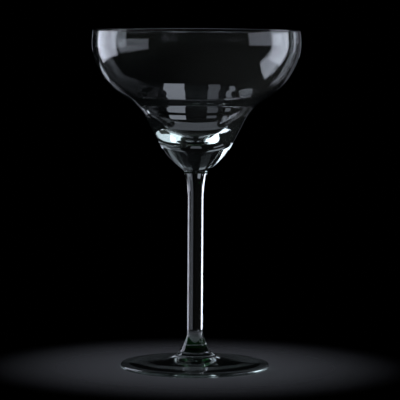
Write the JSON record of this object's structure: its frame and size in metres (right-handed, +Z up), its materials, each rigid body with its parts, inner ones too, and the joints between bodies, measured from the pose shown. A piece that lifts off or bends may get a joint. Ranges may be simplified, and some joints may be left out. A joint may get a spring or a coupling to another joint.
{
  "type": "margarita glass",
  "caption": "Clear margarita glass: wide round bowl stepping in to a narrow cup, on a slim stem and a flat round foot.",
  "frame": {"origin": "middle of the ring that the foot stands on", "axes": "+Z up along the axis of the stem and bowl; the glass is turned about Z, so X and Y are alike"},
  "size_m": [0.1082, 0.1082, 0.176],
  "materials": {
    "clear_glass": "polished"
  },
  "bodies": {
    "root": {"foot": "clear_glass", "stem": "clear_glass", "bowl": "clear_glass"}
  },
  "joints": []
}
